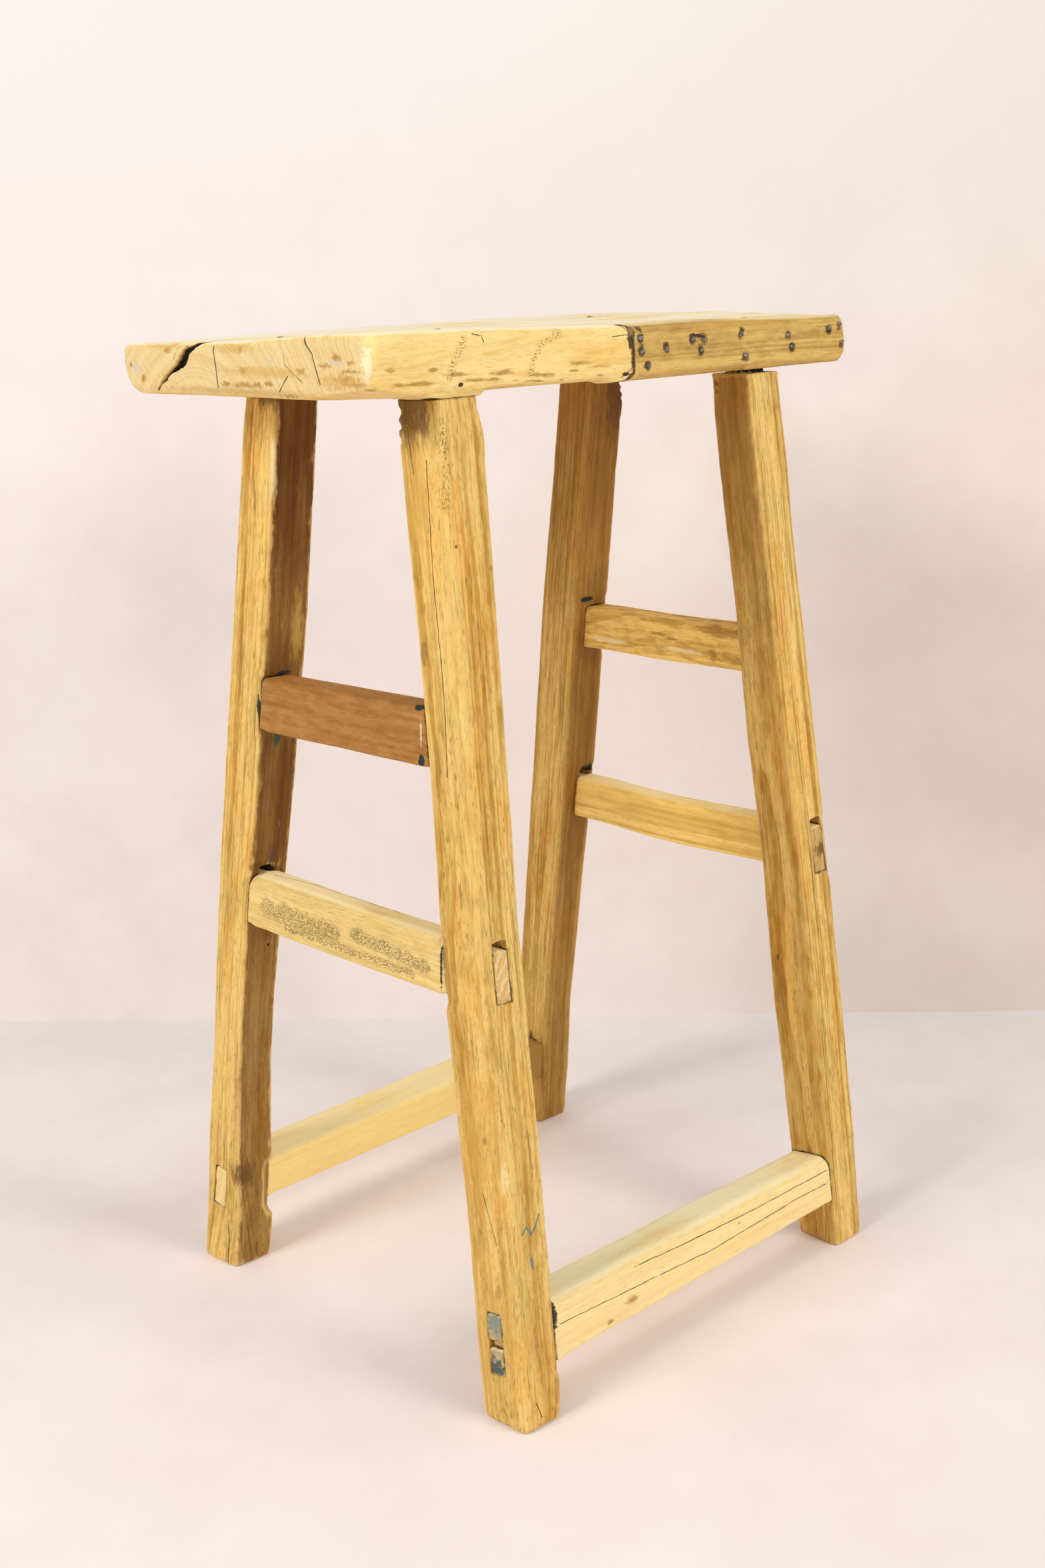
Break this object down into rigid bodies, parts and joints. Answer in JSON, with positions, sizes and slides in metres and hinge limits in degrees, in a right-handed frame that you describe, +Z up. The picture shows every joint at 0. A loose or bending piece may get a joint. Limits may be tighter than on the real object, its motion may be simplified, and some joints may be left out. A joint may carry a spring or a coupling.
{
  "type": "country stool",
  "caption": "Tall wooden stool: a plank seat on splayed square legs tied by stretchers, with through tenons and a nailed repair strip on the seat's front edge.",
  "frame": {"origin": "on the floor, under the middle of the stool's bounding box", "axes": "+Z up, +X along the seat towards the end with the repair strip, +Y from the front edge with the repair strip to the back"},
  "size_m": [0.4734, 0.359, 0.7049],
  "materials": {
    "seat_wood": "worn pale straw-coloured plank, waxed by use, open cracks in the end grain",
    "strip_wood": "tan-brown repair timber with dark stains round the nails",
    "nail_iron": "dark hand-made iron, one head rubbed bright",
    "leg_wood": "golden tan timber with brown streaked grain, worn arrises",
    "replacement_wood": "rough-sawn reddish brown timber",
    "stretcher_wood": "pale golden timber with fine dark grain lines",
    "dark_stretcher_wood": "mid brown timber with a dark knot figure",
    "pale_stretcher_wood": "pale straw timber with long drying cracks",
    "wedge_wood": "split hardwood wedge"
  },
  "bodies": {
    "root": {"seat_plank": "seat_wood", "seat_repair_strip": "strip_wood", "repair_nails": "nail_iron", "leg_front_left": "leg_wood", "leg_front_right": "leg_wood", "leg_rear_left": "leg_wood", "leg_rear_right": "leg_wood", "left_upper_stretcher": "replacement_wood", "left_lower_stretcher": "stretcher_wood", "right_upper_stretcher": "dark_stretcher_wood", "right_lower_stretcher": "stretcher_wood", "front_stretcher": "pale_stretcher_wood", "rear_stretcher": "pale_stretcher_wood", "leg_tenon_wedges": "wedge_wood", "broken_tenon_wedge": "wedge_wood"}
  },
  "joints": []
}
